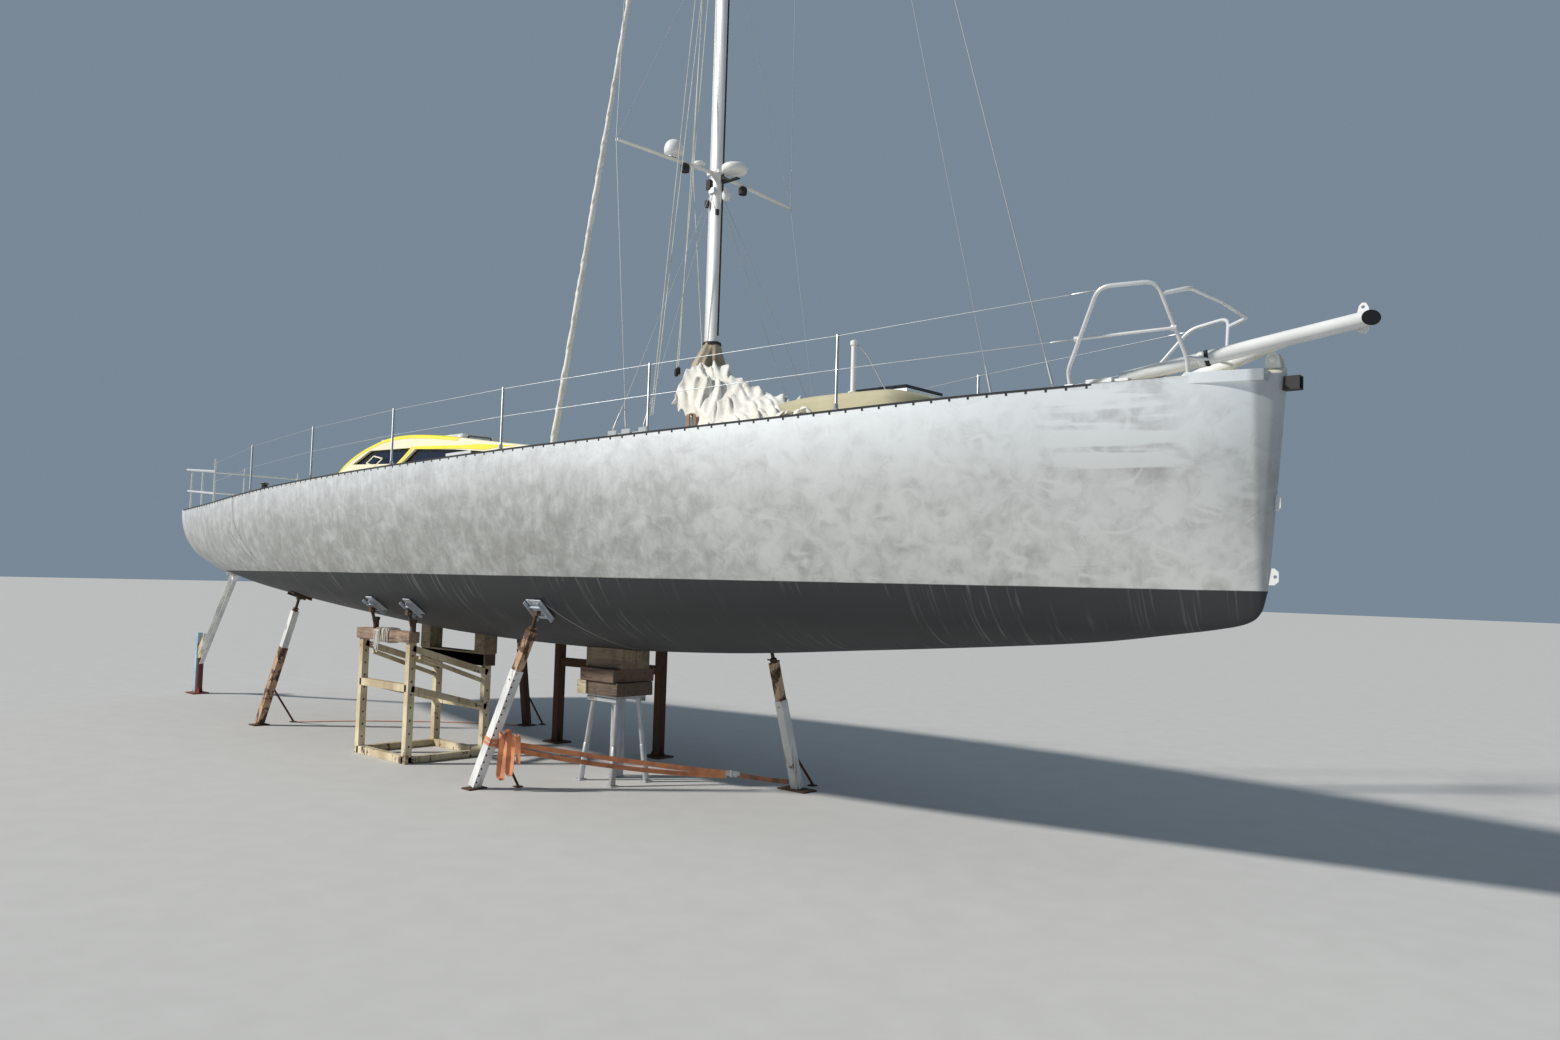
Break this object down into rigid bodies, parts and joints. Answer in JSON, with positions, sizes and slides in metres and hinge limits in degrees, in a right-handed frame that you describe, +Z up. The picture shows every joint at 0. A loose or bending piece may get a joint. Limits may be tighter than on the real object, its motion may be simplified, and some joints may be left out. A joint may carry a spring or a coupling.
{
  "type": "sailing yacht laid up ashore",
  "caption": "Bare aluminium sailing yacht without keel or rudder, held ashore on props, a steel frame, posts and a trestle, with bowsprit, doghouse, guard rails and rigged mast.",
  "frame": {"origin": "on the ground under the middle of the whole object's box", "axes": "+X towards the bow, +Y to port, +Z up"},
  "size_m": [18.776, 4.0142, 20.25],
  "materials": {
    "bare_aluminium": "bare, ground and brushed in swirls",
    "cream_paint": "satin",
    "dark_glass": "dark tinted, polished",
    "stainless": "polished tube and wire",
    "painted_alloy": "satin white and light grey",
    "black_plastic": "matt",
    "white_plastic": "gloss",
    "white_canvas": "matt woven",
    "tan_canvas": "matt woven",
    "black_metal": "satin",
    "varnished_wood": "varnished",
    "weathered_steel": "worn grey paint with rust",
    "rusty_steel": "dark rust",
    "cream_steel": "worn cream paint with rust",
    "rough_timber": "rough sawn, weathered",
    "orange_webbing": "woven webbing"
  },
  "bodies": {
    "yacht": {"hull": "bare_aluminium", "deck": "cream_paint", "doghouse_shell": "cream_paint", "doghouse_pane_starboard": "dark_glass", "doghouse_pane_port": "dark_glass", "companionway_rails": "bare_aluminium", "coachroof": "cream_paint", "hatch_coaming": "bare_aluminium", "toe_rail_starboard": "bare_aluminium", "toe_rail_port": "bare_aluminium", "pulpit": "stainless", "pushpit": "stainless", "guard_rail_starboard": "stainless", "guard_rail_port": "stainless", "bow_platform_starboard": "bare_aluminium", "bow_platform_port": "bare_aluminium", "stem_head": "painted_alloy", "anchor_roller_box": "black_plastic", "stem_tang_upper": "painted_alloy", "stem_tang_lower": "painted_alloy", "bowsprit": "painted_alloy", "mast": "painted_alloy", "spreaders_1": "painted_alloy", "spreaders_2": "painted_alloy", "spreaders_3": "painted_alloy", "spreaders_4": "painted_alloy", "shrouds_starboard": "stainless", "shrouds_port": "stainless", "forestay_outer": "stainless", "forestay_inner": "stainless", "rolled_sail": "white_canvas", "radome": "white_plastic", "dome_aerial": "white_plastic", "mast_sleeve": "tan_canvas", "sail_bundle": "white_canvas", "winch_base_1": "stainless", "winch_base_2": "stainless", "rudder_head": "bare_aluminium", "prop_near_mid": "weathered_steel", "prop_far_fore": "weathered_steel", "prop_near_aft": "weathered_steel", "prop_far_aft": "weathered_steel", "prop_stern": "weathered_steel", "cradle_frame": "cream_steel", "cradle_beam": "rough_timber", "cradle_blocks": "rough_timber", "far_posts": "rusty_steel", "trestle": "weathered_steel", "timber_stack": "rough_timber", "lashing_strap": "orange_webbing"},
    "hatch": {"hatch_lid": "dark_glass"},
    "slide": {"companionway_slide": "cream_paint"},
    "helm": {"tiller": "varnished_wood"},
    "drum_starboard": {"winch_drum_1": "black_metal"},
    "drum_port": {"winch_drum_2": "black_metal"}
  },
  "joints": [
    {"name": "hatch_hinge", "type": "hinge", "parent": "yacht", "child": "hatch", "pos_m": [5.03, 0, 4.0056], "axis": [0, -1, 0], "range_deg": [0, 105]},
    {"name": "companionway_slides", "type": "slide", "parent": "yacht", "child": "slide", "axis": [1, 0, 0], "range_m": [0, 0.8]},
    {"name": "tiller_swing", "type": "hinge", "parent": "yacht", "child": "helm", "pos_m": [-6.948, 0, 3.3676], "axis": [0, 0, 1], "range_deg": [-38, 38]},
    {"name": "winch_turn_starboard", "type": "hinge", "parent": "yacht", "child": "drum_starboard", "pos_m": [-5.078, -1.25, 3.4], "axis": [0, 0, 1], "continuous": true},
    {"name": "winch_turn_port", "type": "hinge", "parent": "yacht", "child": "drum_port", "pos_m": [-5.078, 1.25, 3.4], "axis": [0, 0, 1], "continuous": true}
  ]
}
